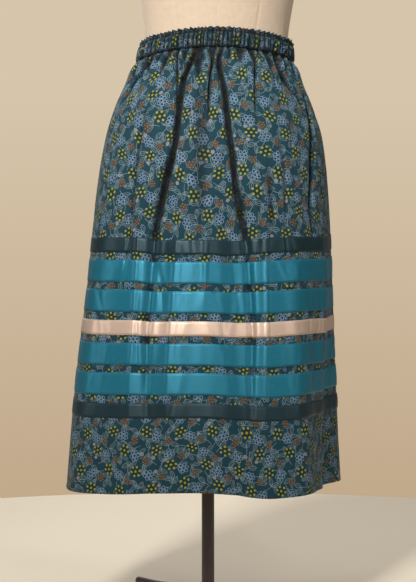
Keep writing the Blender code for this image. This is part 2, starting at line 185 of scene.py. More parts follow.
# half width in degrees, depth, then drop and angle from the top down
CREASES = (
    (2.5, 0.0150, ((0.008, -17.5), (0.026, -20.8), (0.050, -25.0), (0.088, -25.5), (0.152, -25.2),
                   (0.200, -27.0), (0.230, -28.5), (0.262, -30.0), (0.325, -32.5), (0.358, -33.5))),
    (3.2, 0.0060, ((0.180, -28.0), (0.320, -32.5), (0.480, -33.0), (0.700, -29.5))),
    (1.6, 0.0095, ((0.008, -1.4), (0.030, -1.6), (0.050, -2.8), (0.080, -3.2), (0.135, -3.6))),
    (2.5, 0.0150, ((0.008, 3.4), (0.042, 4.6), (0.072, 8.0), (0.144, 10.2), (0.182, 12.2),
                   (0.240, 14.2), (0.296, 16.8), (0.345, 20.5))),
    (3.2, 0.0062, ((0.230, 15.0), (0.330, 20.0), (0.480, 23.0), (0.700, 22.5))),
    (1.2, 0.0090, ((0.002, -34.8), (0.050, -30.0), (0.115, -26.5))),
    (1.2, 0.0085, ((0.010, 36.2), (0.070, 31.0), (0.155, 26.5))),
    (3.0, 0.0160, ((0.004, -60.0), (0.014, -60.8), (0.032, -63.5), (0.046, -67.2), (0.090, -70.5))),
    (3.4, 0.0180, ((0.004, 55.0), (0.028, 56.0), (0.060, 61.5), (0.078, 66.5), (0.110, 69.0))),
    (2.6, 0.0110, ((0.060, 75.5), (0.092, 73.5), (0.180, 66.0), (0.264, 60.5), (0.360, 61.5))),
    (1.3, 0.0050, ((0.030, 50.0), (0.052, 48.2), (0.075, 47.5))),
    (1.7, 0.0045, ((0.090, -48.0), (0.200, -46.0), (0.300, -45.0), (0.420, -46.5))),
    (1.7, 0.0040, ((0.140, 42.0), (0.230, 43.0), (0.320, 41.0), (0.400, 41.5))),
    (8.5, 0.0046, ((0.060, -9.0), (0.160, -8.5), (0.250, -7.0), (0.370, -6.0))),
    (2.6, -0.0050, ((0.235, 24.5), (0.275, 25.0), (0.345, 26.5))),
    (2.6, 0.0050, ((0.200, 33.5), (0.270, 34.0), (0.345, 34.0))),
    (1.8, -0.0022, ((0.240, -41.0), (0.330, -40.5), (0.480, -39.5), (0.680, -38.5))),
    (1.6, -0.0024, ((0.240, 30.5), (0.330, 30.0), (0.480, 30.0), (0.680, 29.0))),
    (2.6, -0.0020, ((0.240, -18.0), (0.330, -20.0), (0.480, -20.5), (0.680, -21.0))),
    (2.4, -0.0018, ((0.260, -2.0), (0.340, -3.0), (0.400, -3.0), (0.450, -3.5))),
    (1.8, 0.0120, ((0.012, 118.0), (0.060, 121.0), (0.140, 121.5), (0.240, 120.0), (0.330, 119.0))),
    (1.7, 0.0120, ((0.012, 152.0), (0.050, 149.0), (0.130, 149.0), (0.220, 147.0), (0.310, 147.0))),
    (1.8, 0.0130, ((0.012, 176.0), (0.060, 179.0), (0.150, 179.5), (0.230, 178.0), (0.320, 176.0))),
    (1.8, 0.0120, ((0.012, -146.0), (0.050, -150.0), (0.120, -151.0), (0.210, -151.0), (0.310, -150.0))),
    (1.3, 0.0070, ((0.010, -126.0), (0.060, -123.0), (0.130, -121.0))),
    (1.3, 0.0060, ((0.010, 163.0), (0.070, 165.0), (0.150, 163.5))),
    (1.3, 0.0060, ((0.010, 134.0), (0.060, 136.0), (0.120, 134.0))),
    (1.9, 0.0090, ((0.006, -104.0), (0.040, -107.0), (0.100, -110.0), (0.170, -109.0))),
    (1.9, 0.0090, ((0.006, 101.0), (0.050, 104.0), (0.110, 106.0), (0.160, 105.0))),
)
rng = np.random.default_rng(41)
ridges = list(FRONT_RIDGES)
# the ridges behind go on from the last one in front, unevenly spaced, to short of the first
turn = 86.0
while turn < 270.0:
    ridges.append((turn, rng.uniform(0.0095, 0.0135), rng.uniform(0.026, 0.065)))
    turn += rng.uniform(7.0, 12.0)
ridges = np.array(ridges)
# angle, drop, reach down, slant in degrees over the reach, half width in degrees, depth
small_wrinkles = [
    (rng.uniform(-180, 180), rng.uniform(0.05, 0.74), rng.uniform(0.020, 0.075),
     rng.uniform(-7, 7), rng.uniform(1.1, 2.8), rng.uniform(-0.0009, 0.0013))
    for wrinkle in range(230)
]
hem_waves = [(count, rng.uniform(0, 6.28), 0.0011 * 7 / count) for count in (5, 7, 11, 16, 23)]


def trough(away):
    """A trough's cross section, 1 at the middle, with a low crest on both sides."""
    return (1 - 0.5 * away**2) * bell(away)


def degrees_apart(angle, middle):
    return (angle - middle + 180) % 360 - 180


def gather_depth(angle, drop):
    """Troughs between the ridges: wide at the seam, where the ridges are sharp, and narrow below."""
    starts = np.append(ridges[:, 0], ridges[0, 0] + 360)
    lean = 2.5 * np.sin(np.radians(angle) * 7.0) * smooth_step(0.0, 0.05, drop)
    at = (angle + lean - starts[0]) % 360 + starts[0]
    pipe = np.clip(np.searchsorted(starts, at, side="right") - 1, 0, len(ridges) - 1)
    share = (at - starts[pipe]) / (starts[pipe + 1] - starts[pipe])
    inner = 1 - np.abs(2 * share - 1)
    depth, reach = ridges[pipe, 1], ridges[pipe, 2]
    narrowing = 0.55 + 2.6 * np.clip(drop / reach, 0, 1)
    fade = smooth_step(-0.004, 0.008, drop) * (1 - smooth_step(0.30, 1.0, drop / reach))
    return depth * fade * inner**narrowing


def relief(angle, drop):
    """How far the cloth stands out from the CAD's form, and how deep its gathers and creases are."""
    out = GATHER_PUFF * bell((drop - 0.018) / 0.018) - SEAM_TUCK * bell(drop / 0.004)
    folded = gather_depth(angle, drop)
    for width, depth, route in CREASES:
        drops, angles = np.array(route).T
        start = smooth_step(drops[0] - 0.004, drops[0] + 0.020, drop)
        end = 1 - smooth_step(drops[-1] - 0.45 * (drops[-1] - drops[0]), drops[-1], drop)
        middle = np.interp(drop, drops, angles)
        narrowed = width * (1 - 0.45 * smooth_step(drops[0], drops[-1], drop))
        folded = folded + depth * start * end * trough(degrees_apart(angle, middle) / narrowed)
    out = out - folded
    for at, level, reach, slant, width, depth in small_wrinkles:
        along = (drop - level) / reach
        away = (degrees_apart(angle, at) - slant * along) / width
        out = out - depth * bell(along) * trough(away)
    low = smooth_step(0.25, 0.70, drop)
    for count, phase, height in hem_waves:
        out = out + height * low * np.sin(np.radians(angle) * count + phase)
    for side_seam in (90, -90):
        out = out - SIDE_SEAM_SINK * bell(degrees_apart(angle, side_seam) / 0.8)
    out = out + HEM_TURNING * smooth_step(HEM_TO_SEAM - 0.006, HEM_TO_SEAM - 0.002, drop)
    return out, folded


def normals_of(points):
    """Outward normals of a grid of points whose rows run down and columns run round."""
    across, down = np.gradient(points, axis=1), np.gradient(points, axis=0)
    normals = np.cross(down, across)
    return normals / np.linalg.norm(normals, axis=-1, keepdims=True)


# ---- The printed panels ----
# Front and back panel, each 0.60 m wide at the top, 0.77 m at the hem and 0.80 m long before
# sewing, in one layer of cotton. They are gathered to the casing and fall to mid-calf.

COTTON_WALL = 0.0010
SIDE_COLUMNS = 300                  # to each panel, 0.6 degrees apart
PANEL_TOP = 0.60                    # each panel's flat width at the waist, before gathering
PANEL_HEM = 0.77
MOST_GATHERED = 1.22                # the gathers hide the rest of the width from the print
ROW_PITCH = 0.0042                  # between the mesh's rows under a ribbon
ROOM_AT_SEAM = 0.0028               # for a fold, between the cloth and the dress form
ROOM_GROWTH = 0.55                  # and how fast it grows down the skirt
# fold depths over which the painted shade in the folds grows from none to full
SHALLOWEST_FOLD, DEEPEST_FOLD = 0.0006, 0.0075

row_drops = list(TOP_RIBBON_DROP * np.linspace(0, 1, 63) ** 1.25)
ribbon_rows = {}
for name, width, bare in reversed(RIBBONS):
    first = len(row_drops) - 1
    steps = round(width / ROW_PITCH)
    row_drops += list(row_drops[-1] + width * np.arange(1, steps + 1) / steps)
    ribbon_rows[name] = (first, len(row_drops))
    if bare:
        row_drops += list(row_drops[-1] + bare * np.arange(1, 4) / 3)
row_drops += list(row_drops[-1] + HEM_TO_RIBBONS * np.arange(1, 27) / 26)
row_drops = np.array(row_drops)
angles = np.linspace(-180, 180, 2 * SIDE_COLUMNS + 1)
angle, drop = np.meshgrid(angles, row_drops)
half_width, centre, front, back, squareness = read_table(SKIRT_SECTIONS, drop)
radius = section_radius(angle, half_width, front, back, squareness) - fold_depth(angle, drop)
cloth = np.stack((
    centre + radius * np.sin(np.radians(angle)), -radius * np.cos(np.radians(angle)),
    cloth_height(angle, drop),
), axis=-1)
room = ROOM_AT_SEAM + ROOM_GROWTH * drop
height, folded = relief(angle, drop)
cloth = cloth + normals_of(cloth) * np.maximum(height, -room)[..., None]
# painted shade on the panels: darker the deeper the fold, and a painted shadow just under the waistband
cloth_painted_shade = smooth_step(SHALLOWEST_FOLD, DEEPEST_FOLD, folded) + 0.5 * bell(drop / 0.004)
cloth_painted_shade = np.minimum(cloth_painted_shade, 1.0)
cloth_normals = normals_of(cloth)
# the two ends of the ring are one line
cloth_normals[:, 0] = cloth_normals[:, -1] = cloth_normals[:, 0] + cloth_normals[:, -1]
cloth_normals /= np.linalg.norm(cloth_normals, axis=-1, keepdims=True)


def arc_lengths(points):
    """Distance along each row of a grid of points, from its first column."""
    steps = np.linalg.norm(np.diff(points, axis=1), axis=-1)
    return np.concatenate((np.zeros((len(points), 1)), np.cumsum(steps, axis=1)), axis=1)


def add_to_scene(name, data):
    """Make an object of a mesh, a lamp or a camera and put it in the scene."""
    made = bpy.data.objects.new(name, data)
    bpy.context.scene.collection.objects.link(made)
    return made


def strip(name, points, cut, material, painted_shade=None, closed=False):
    """A mesh piece over a grid of points.

    cut is each point's place on the flat cloth, which becomes a UV map, and None for a piece
    that isn't cloth. The next argument is how much painted shade each point gets, from 0 to 1,
    the most in the depths of folds. A closed piece has the points that meet joined.
    """
    rows, columns = points.shape[:2]
    corner = np.arange(rows * columns).reshape(rows, columns)
    quads = np.stack(
        (corner[:-1, :-1], corner[1:, :-1], corner[1:, 1:], corner[:-1, 1:]), axis=-1
    ).reshape(-1, 4)
    mesh = bpy.data.meshes.new(name)
    mesh.from_pydata(points.reshape(-1, 3), [], quads.tolist())
    if cut is not None:
        place = cut.reshape(-1, 2)[quads.ravel()]
        mesh.uv_layers.new(name="cut").data.foreach_set("uv", place.ravel())
    if painted_shade is not None:
        mesh.attributes.new("painted_shade", "FLOAT", "POINT").data.foreach_set("value", painted_shade.ravel())
    if closed:
        bm = bmesh.new()
        bm.from_mesh(mesh)
        bmesh.ops.remove_doubles(bm, verts=bm.verts, dist=0.000005)
        bm.to_mesh(mesh)
        bm.free()
    mesh.shade_smooth()
    mesh.materials.append(material)
    return add_to_scene(name, mesh)


def give_wall(piece, wall):
    solidify = piece.modifiers.new("wall", "SOLIDIFY")
    solidify.thickness = wall
    solidify.offset = -1


def linear(code):
    """An sRGB hex colour as linear RGBA."""
    values = [int(code[i:i + 2], 16) / 255 for i in (1, 3, 5)]
    return (*((v / 12.92 if v <= 0.04045 else ((v + 0.055) / 1.055) ** 2.4) for v in values), 1.0)


def node(kind, feeds=(), **settings):
    """Add a node to the tree in hand with its settings, and set or link its inputs."""
    made = tree.nodes.new("ShaderNode" + kind)
    for name, value in settings.items():
        setattr(made, name, value)
    for key, value in (feeds.items() if isinstance(feeds, dict) else enumerate(feeds)):
        if isinstance(value, bpy.types.Node):
            value = next(output for output in value.outputs if output.enabled)
        if isinstance(value, bpy.types.NodeSocket):
            tree.links.new(value, made.inputs[key])
        else:
            made.inputs[key].default_value = value
    return made


def new_material(name):
    """A material with a bare Principled shader. Returns it, its tree and the shader."""
    material = bpy.data.materials.new(name)
    material.use_nodes = True
    return material, material.node_tree, material.node_tree.nodes["Principled BSDF"]


def surface(colour, rough, bumps):
    """Give the shader in hand its pattern of colour, roughness and bumps."""
    tree.links.new(colour.outputs[2], shader.inputs["Base Color"])
    tree.links.new(rough.outputs[0], shader.inputs["Roughness"])
    tree.links.new(bumps.outputs[0], shader.inputs["Normal"])


# Quilting cotton: a matt plain weave with a small floral print on a dark teal ground.
# All of the print's sizes are in millimetres on the flat cloth.
PITCH = 22.8                        # between motifs in a row, and between rows
JITTER = 2.0
TURN = 2 * math.pi

cotton, tree, shader = new_material("printed_quilting_cotton")
flat_place = node("UVMap", uv_map="cut")
flat = node("VectorMath", (flat_place, (1000, 1000, 0)), operation="MULTIPLY")
# the grid lies askew and is a little uneven, so that no rows show
drift = node("TexNoise", {"Vector": flat, "Scale": 0.009, "Detail": 0.0})
drift = node("VectorMath", (drift.outputs["Color"], (26, 26, 0), flat), operation="MULTIPLY_ADD")
askew = node("Mapping", {"Vector": drift, "Rotation": (0, 0, 0.37)})
flat_xy = node("SeparateXYZ", (askew,))
row = node("Math", (node("Math", (flat_xy.outputs["Y"], PITCH), operation="DIVIDE"),), operation="FLOOR")
odd = node("Math", (row, 2), operation="FLOORED_MODULO")
staggered = node("CombineXYZ", (
    node("Math", (odd, PITCH / 2, flat_xy.outputs["X"]), operation="MULTIPLY_ADD"), flat_xy.outputs["Y"],
))
in_cells = node("VectorMath", (staggered, (PITCH, PITCH, 1)), operation="DIVIDE")
cell = node("VectorMath", (in_cells,), operation="FLOOR")
cell_xy = node("SeparateXYZ", (cell,))
chance = node("TexWhiteNoise", {"Vector": cell}, noise_dimensions="2D")
in_cell = node("VectorMath", (cell, (-PITCH, -PITCH, 0), staggered), operation="MULTIPLY_ADD")
centred = node("VectorMath", (in_cell, (PITCH / 2, PITCH / 2, 0)), operation="SUBTRACT")
moved = node("VectorMath", (in_cell, ((PITCH - JITTER) / 2, (PITCH - JITTER) / 2, 0)), operation="SUBTRACT")
moved = node("VectorMath", (chance.outputs["Color"], (-JITTER, -JITTER, 0), moved), operation="MULTIPLY_ADD")
moved_xy = node("SeparateXYZ", (moved,))
chances = node("SeparateXYZ", (chance.outputs["Color"],))
away = node("VectorMath", (node("VectorMath", (moved, (1, 1, 0)), operation="MULTIPLY"),), operation="LENGTH")
direction = node("Math", (moved_xy.outputs["Y"], moved_xy.outputs["X"]), operation="ARCTAN2")
direction = node("Math", (chances.outputs["Z"], TURN, direction), operation="MULTIPLY_ADD")
# three motifs and a bare cell take turns, so that no two of a kind are side by side
lag = node("Math", (node("Math", (cell_xy.outputs["Y"], 1.5), operation="MULTIPLY"),), operation="FLOOR")
cell_number = node("Math", (cell_xy.outputs["X"], lag), operation="ADD")
motif = node("Math", (cell_number, 4), operation="FLOORED_MODULO")


def round_the_middle(count, reach):
    """Distance to the nearest of a ring of points at that reach from the motif's middle."""
    turned = node("Math", (direction, TURN / count / 2), operation="PINGPONG")
    shadow = node("Math", (node("Math", (turned,), operation="COSINE"), away), operation="MULTIPLY")
    rest = node("Math", (shadow, -2 * reach, reach**2), operation="MULTIPLY_ADD")
    square = node("Math", (away, away, rest), operation="MULTIPLY_ADD")
    return node("Math", (square,), operation="SQRT")


def sprig(place_xy):
    """Outlines of a bent stem and a pair of leaves, drawn along X round the origin."""
    x = place_xy.outputs["X"]
    bend = node("Math", (node("Math", (x, x), operation="MULTIPLY"), 0.022), operation="MULTIPLY")
    y = node("Math", (place_xy.outputs["Y"], bend), operation="SUBTRACT")
    folded = node("CombineXYZ", (x, node("Math", (y,), operation="ABSOLUTE"), 1.0))
    lean, length, half, base = math.radians(36), 17.0, 3.5, -3.0
    round_by = (length**2 / 4 + half**2) / (2 * half)
    along = node("VectorMath", (
        folded, (math.cos(lean), math.sin(lean), -base * math.cos(lean) - length / 2),
    ), operation="DOT_PRODUCT")
    beside = node("VectorMath", (
        folded, (-math.sin(lean), math.cos(lean), base * math.sin(lean)),
    ), operation="DOT_PRODUCT")
    off_rib = node("Math", (beside,), operation="ABSOLUTE")
    beside = node("Math", (off_rib, round_by - half), operation="ADD")
    square = node("Math", (
        along, along, node("Math", (beside, beside), operation="MULTIPLY"),
    ), operation="MULTIPLY_ADD")
    edge = node("Math", (node("Math", (square,), operation="SQRT"), round_by), operation="SUBTRACT")
    outline = node("Math", (edge, -0.36, 0.36), operation="COMPARE")
    inside = node("Math", (edge, -1.5), operation="LESS_THAN")
    vein = node("Math", (node("Math", (off_rib, 0.30), operation="LESS_THAN"), inside), operation="MULTIPLY")
    on_stem = node("Math", (y, 0, 0.38), operation="COMPARE")
    stem = node("Math", (on_stem, node("Math", (x, -6.0, 8.0), operation="COMPARE")), operation="MULTIPLY")
    drawn = node("Math", (outline, vein), operation="MAXIMUM")
    return node("Math", (drawn, stem), operation="MAXIMUM")


mottle = node("TexNoise", {"Vector": flat, "Scale": 0.05, "Detail": 3.0})
colour = node("Mix", {
    0: mottle.outputs["Fac"], 6: linear("#0d2e39"), 7: linear("#133741"),
}, data_type="RGBA")

# two lower layers of sprigs, each on a grid of its own, under the other motifs
for sprig_pitch, sprig_angle, sprig_shift in ((25.5, 0.61, 0.0), (30.0, 1.90, 11.0)):
    spread_out = node("Mapping", {
        "Vector": flat, "Location": (sprig_shift, 0, 0), "Rotation": (0, 0, sprig_angle),
    })
    sprig_cell = node("VectorMath", (
        node("VectorMath", (spread_out, (sprig_pitch, sprig_pitch, 1)), operation="DIVIDE"),
    ), operation="FLOOR")
    sprig_chance = node("TexWhiteNoise", {"Vector": sprig_cell}, noise_dimensions="2D")
    local = node("VectorMath", (
        sprig_cell, (-sprig_pitch, -sprig_pitch, 0), spread_out,
    ), operation="MULTIPLY_ADD")
    local = node("VectorMath", (local, (sprig_pitch / 2, sprig_pitch / 2, 0)), operation="SUBTRACT")
    sprig_turn = node("Math", (sprig_chance.outputs["Value"], TURN), operation="MULTIPLY")
    local = node("VectorRotate", {"Vector": local, "Angle": sprig_turn}, rotation_type="Z_AXIS")
    drawn = sprig(node("SeparateXYZ", (local,)))
    colour = node("Mix", {0: drawn, 6: colour, 7: linear("#6c7d82")}, data_type="RGBA")

# single pale berries in some of the gaps between three motifs
gap_x = node("Math", (node("SeparateXYZ", (in_cells,)).outputs["X"], 0.5), operation="ADD")
gap_cell = node("CombineXYZ", (node("Math", (gap_x,), operation="FLOOR"), row, 7.0))
gap_chance = node("TexWhiteNoise", {"Vector": gap_cell}, noise_dimensions="3D")
gap_local = node("VectorMath", (centred,), operation="ABSOLUTE")
gap_local = node("CombineXYZ", (
    node("SeparateXYZ", (gap_local,)).outputs["X"], node("SeparateXYZ", (centred,)).outputs["Y"],
))
gap_away = node("VectorMath", (gap_local, (PITCH / 2, PITCH * 0.375, 0)), operation="DISTANCE")
has_berry = node("Math", (gap_chance.outputs["Value"], 0.16), operation="LESS_THAN")

is_yellow = node("Math", (motif, 0, 0.5), operation="COMPARE")
is_blue = node("Math", (motif, 1, 0.5), operation="COMPARE")
is_rust = node("Math", (motif, 2, 0.5), operation="COMPARE")
yellow_dot = node("Math", (round_the_middle(6, 7.9), away), operation="MINIMUM")
blue_circle = node("Math", (round_the_middle(6, 6.5), away), operation="MINIMUM")
rust_petal = round_the_middle(6, 5.0)
rust_shape = node("Math", (rust_petal, node("Math", (away, 0.3), operation="SUBTRACT")), operation="MINIMUM")
rust_speck = node("Math", (rust_petal, away), operation="MINIMUM")
PRINT_LAYERS = (
    # where the motif is, distance from its drawing, how far that reaches, blur, colour
    (is_yellow, away, 9.6, 2.2, "#0b242b"),         # a darker disc of the ground
    (is_yellow, yellow_dot, 2.05, 0.3, "#80812a"),
    (has_berry, gap_away, 3.1, 0.3, "#7d787a"),
    (has_berry, gap_away, 0.9, 0.3, "#564d53"),
    (is_blue, blue_circle, 2.85, 0.2, "#889ba6"),   # seven ringed circles
    (is_blue, blue_circle, 2.30, 0.2, "#143858"),
    (is_blue, blue_circle, 0.95, 0.2, "#091c2e"),
    (is_rust, rust_shape, 2.30, 0.3, "#4b341e"),    # six petals with pale specks
    (is_rust, rust_speck, 0.85, 0.3, "#726f61"),
)
for present, distance, reach, blur, shade in PRINT_LAYERS:
    edge = node("MapRange", {
        "Value": distance, "From Min": reach - blur, "From Max": reach + blur, "To Min": 1.0, "To Max": 0.0,
    })
    printed = node("Math", (present, edge), operation="MULTIPLY")
    colour = node("Mix", {0: printed, 6: colour, 7: linear(shade)}, data_type="RGBA")

# threads are about 0.4 mm apart; they are drawn 1.1 mm apart, the finest that shows
THREAD_SCALE = TURN / 20 / 1.1      # a wave texture of scale 1 has a wave every TURN / 20
warp = node("TexWave", {"Vector": flat, "Scale": THREAD_SCALE, "Distortion": 0.6}, bands_direction="X")
weft = node("TexWave", {"Vector": flat, "Scale": THREAD_SCALE, "Distortion": 0.6}, bands_direction="Y")
weave = node("Math", (warp, weft), operation="MULTIPLY")
crumple = node("TexNoise", {"Vector": flat, "Scale": 0.11, "Detail": 4.0, "Roughness": 0.6})
thread_shade = node("MapRange", {"Value": weave, "To Min": 0.86, "To Max": 1.08})
colour = node("Mix", {0: 1.0, 6: colour, 7: thread_shade}, data_type="RGBA", blend_type="MULTIPLY")
# painted shade: the form leaves the gathers less room than real ones have, so the cloth's colour is darkened
# in their depths, just under the waistband and over the band, where shade falls
painted_shade_node = node("Attribute", attribute_name="painted_shade")
fold_shade = node("MapRange", {"Value": painted_shade_node.outputs["Fac"], "To Min": 1.0, "To Max": 0.13})
colour = node("Mix", {0: 1.0, 6: colour, 7: fold_shade}, data_type="RGBA", blend_type="MULTIPLY")
bumps = node("Bump", {"Height": weave, "Strength": 0.25, "Distance": 0.0002})
bumps = node("Bump", {"Height": crumple, "Strength": 0.5, "Distance": 0.0012, "Normal": bumps})
rough = node("MapRange", {"Value": crumple, "To Min": 0.74, "To Max": 0.92})
surface(colour, rough, bumps)
shader.inputs["Specular IOR Level"].default_value = 0.2
shader.inputs["Sheen Weight"].default_value = 0.04
shader.inputs["Sheen Roughness"].default_value = 0.45

# where each point lies on the flat cloth
around = arc_lengths(cloth)
down = np.concatenate(([0.0], np.cumsum(
    np.linalg.norm(np.diff(cloth, axis=0), axis=-1).mean(axis=1)
)))
half_top, half_hem = PANEL_TOP / 2, PANEL_HEM / 2
cut_half = half_top + (half_hem - half_top) * row_drops / HEM_TO_SEAM
drawn_in = np.minimum(cut_half / (around[:, -1] / 4), MOST_GATHERED)
centre_front = around[:, SIDE_COLUMNS:SIDE_COLUMNS + 1]
cut = np.stack((
    (around - centre_front) * drawn_in[:, None],
    np.broadcast_to((1.0 - down)[:, None], around.shape),
), axis=-1)
BACK_OFFSET = 2.37                  # the back panel is cut from another place in the cloth


def panel_columns(side):
    """The ring's columns that make a panel, in order from the wearer's right or left side."""
    quarter = SIDE_COLUMNS // 2
    if side == "front":
        return np.arange(quarter, 3 * quarter + 1)
    return np.concatenate((np.arange(3 * quarter, 4 * quarter), np.arange(0, quarter + 1)))


for side in ("front", "back"):
    columns = panel_columns(side)
    place = cut[:, columns].copy()
    if side == "back":
        place[:, len(columns) // 2:, 0] += around[:, -1:] * drawn_in[:, None]
        place[..., 0] += BACK_OFFSET
    panel = strip(f"skirt_panel_{side}", cloth[:, columns], place, cotton, cloth_painted_shade[:, columns])
    give_wall(panel, COTTON_WALL)
    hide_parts(f"skirt_{side}")
    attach(panel, "root")

# ---- The ribbons ----
# Seven rows of polyester satin ribbon, 25 or 38 mm wide, laid round each panel and sewn down
# along both edges before the side seams. Each ends in the side seams.

RIBBON_LIFT = 0.00060               # outer face above the cotton, at the edges
RIBBON_WALL = 0.0005
RIBBON_CROWN = 0.0001
STITCH_INSET = 0.0018               # from the ribbon's edge
STITCH_PITCH = 0.0030
STITCH_LENGTH = 0.0023
PUCKERS = 38                        # to a ribbon on one panel

satins = {}
for tone, main, deep in (
    ("teal", "#157389", "#0e6176"), ("dark_teal", "#15343c", "#0f282f"), ("cream", "#d2b8a6", "#c3a792"),
):
    # Satin: long floats of filament yarn, smooth with a soft broad gloss
    satin, tree, shader = new_material(f"{tone}_polyester_satin")
    place = node("UVMap", uv_map="cut")
    threads = node("VectorMath", (place, (60, 2600, 0)), operation="MULTIPLY")
    streaks = node("TexNoise", {"Vector": threads, "Scale": 1.0, "Detail": 2.0})
    colour = node("Mix", {0: streaks.outputs["Fac"], 6: linear(main), 7: linear(deep)}, data_type="RGBA")
    # a row of stitches along both edges: U runs along the ribbon, V in from the nearest edge
    ribbon_xy = node("SeparateXYZ", (place,))
    seam = node("Math", (ribbon_xy.outputs["Y"], STITCH_INSET, 0.0004), operation="COMPARE")
    step = node("Math", (ribbon_xy.outputs["X"], STITCH_PITCH), operation="FLOORED_MODULO")
    thread = node("Math", (step, STITCH_LENGTH), operation="LESS_THAN")
    stitched = node("Math", (seam, thread), operation="MULTIPLY")
    stitch_shade = node("Math", (stitched, 0.45), operation="MULTIPLY")
    colour = node("Mix", {0: stitch_shade, 6: colour, 7: linear(deep)}, data_type="RGBA")
    gloss = node("MapRange", {"Value": streaks.outputs["Fac"], "To Min": 0.42, "To Max": 0.54})
    bumps = node("Bump", {"Height": streaks.outputs["Fac"], "Strength": 0.12, "Distance": 0.0002})
    sunk = node("Math", (stitched, -1), operation="MULTIPLY")
    bumps = node("Bump", {"Height": sunk, "Strength": 0.6, "Distance": 0.0004, "Normal": bumps})
    surface(colour, gloss, bumps)
    # the yarns are dyed through, so the gloss takes their colour, as a metal's does
    shader.inputs["Metallic"].default_value = 0.50
    shader.inputs["Anisotropic"].default_value = 0.65
    shader.inputs["Anisotropic Rotation"].default_value = 0.25
    along = node("Tangent", direction_type="UV_MAP", uv_map="cut")
    tree.links.new(along.outputs[0], shader.inputs["Tangent"])
    shader.inputs["Specular IOR Level"].default_value = 0.60
    satins[tone] = satin

for name, width, _ in RIBBONS:
    tone = name.split("_", 2)[2]
    first, last = ribbon_rows[name]
    across = np.linspace(1, 0, last - first)
    crown = RIBBON_CROWN * (1 - (2 * across - 1) ** 4)
    for side in ("front", "back"):
        columns = panel_columns(side)
        face = cloth[first:last, columns]
        out = cloth_normals[first:last, columns]
        waves = np.zeros(face.shape[:2])
        along = np.degrees(np.linspace(-math.pi / 2, math.pi / 2, len(columns)))
        for pucker in range(PUCKERS):
            at, lean = rng.uniform(-90, 90), rng.uniform(-5, 5)
            size, height = rng.uniform(1.6, 3.8), rng.uniform(0.0001, 0.0006)
            off = (along[None, :] - at - lean * (across[:, None] - 0.5)) / size
            waves += height * bell(off) * (0.55 + 0.45 * np.sin(math.pi * across[:, None]))
        lifted = face + out * (RIBBON_LIFT + crown[:, None] + waves)[..., None]
        length = arc_lengths(face)
        edge_distance = np.minimum(across, 1 - across) * width
        place = np.stack((length, np.broadcast_to(edge_distance[:, None], length.shape)), axis=-1)
        ribbon = strip(f"{name}_{side}_satin", lifted, place, satins[tone])
        give_wall(ribbon, RIBBON_WALL)
        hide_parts(f"{name}_{side}")
        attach(ribbon, "root")

# ---- The waistband ----
# The panels' top edge is turned down twice into a casing for 25 mm elastic, stitched 8 mm
# under the fold, which leaves a ruffled heading. The elastic draws it into fine puckers.

BAND_HEIGHT = 0.033
BAND_NARROWING = 0.0041
BAND_TOP_SHIFT = 0.003
BAND_COLUMNS = 900
BAND_ROWS = 30
BAND_WALL = 0.0014
HEADING_STITCH = 0.76               # of the band's height
BAND_CUT = 1.20                     # round, before gathering
CHANNEL_PUCKER = 0.0046
FINE_PUCKER = 0.0016
HEADING_RUFFLE = 0.0066

turns = np.linspace(-180, 180, BAND_COLUMNS + 1)
turn, up = np.meshgrid(turns, np.linspace(1, 0, BAND_ROWS))


def pucker_waves(spacing, unevenness):
    """Rounded pipes with sharp troughs at uneven spacing round the band, from 0 to 1."""
    starts = [0.0]
    while starts[-1] < 360 - spacing * 0.6:
        starts.append(starts[-1] + spacing * rng.uniform(1 - unevenness, 1 + unevenness))
    starts[-1] = 360.0
    starts = np.array(starts)
    heights = rng.uniform(0.55, 1.0, len(starts))
    at = np.clip(turns + 180, 0, 359.999)
    pipe = np.searchsorted(starts, at, side="right") - 1
    share = (at - starts[pipe]) / (starts[pipe + 1] - starts[pipe])
    return np.sin(math.pi * share) ** 1.5 * heights[pipe]


fine = pucker_waves(1.9, 0.35)[None, :]
channel = pucker_waves(3.9, 0.45)[None, :]
ruffle = pucker_waves(4.6, 0.40)[None, :]
in_channel = smooth_step(0.0, 0.12, up) * (1 - smooth_step(HEADING_STITCH - 0.14, HEADING_STITCH, up))
in_heading = smooth_step(HEADING_STITCH + 0.02, 1.0, up)
half_width, centre, front, back, squareness = SKIRT_SECTIONS[0, 1:]
swell = np.interp(up, (0.0, 0.35, 0.75, 1.0), (0.0, 0.0008, 0.0006, 0.0004))
out = swell + 0.0004 + CHANNEL_PUCKER * channel * in_channel + FINE_PUCKER * fine * (1 - 0.5 * in_heading)
out = out + HEADING_RUFFLE * (ruffle - 0.30) * in_heading
# the two rows of stitches draw it in
out = out - 0.0014 * bell((up - HEADING_STITCH) / 0.04) - 0.0010 * bell(up / 0.05)
radius = section_radius(turn, half_width - BAND_NARROWING * up, front, back, squareness) + out
edge = 0.0026 * (ruffle - 0.6) * in_heading - 0.0022 * (1 - channel) * (1 - smooth_step(0.0, 0.25, up))
band = np.stack((
    centre + BAND_TOP_SHIFT * up + radius * np.sin(np.radians(turn)),
    -radius * np.cos(np.radians(turn)),
    SEAM_HEIGHT + SEAM_TILT * np.cos(np.radians(turn)) + BAND_HEIGHT * up + edge,
), axis=-1)
place = np.stack((BAND_CUT * (turn + 180) / 360 + 4.1, 0.5 + BAND_HEIGHT * up), axis=-1)
# painted shade on the band: darker in the troughs between the puckers and the ruffles, along the heading
# stitch, and a quarter of full shade all over
painted_shade = (1 - smooth_step(0.05, 0.75, channel)) * (1 - in_heading)
painted_shade = painted_shade + (1 - smooth_step(0.1, 0.9, ruffle)) * in_heading
painted_shade = np.minimum(0.25 + 0.75 * painted_shade + 0.6 * bell((up - HEADING_STITCH) / 0.05), 1.0)
waistband = strip("waistband_casing_gathered", band, place, cotton, painted_shade, closed=True)
give_wall(waistband, BAND_WALL)
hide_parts("waistband_casing")
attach(waistband, "root")

# ---- The dress form ----
# A limbless form of papier-mache under a tight cover of linen jersey, sewn from eight
# panels with princess seams, on a turned beech neck cap.

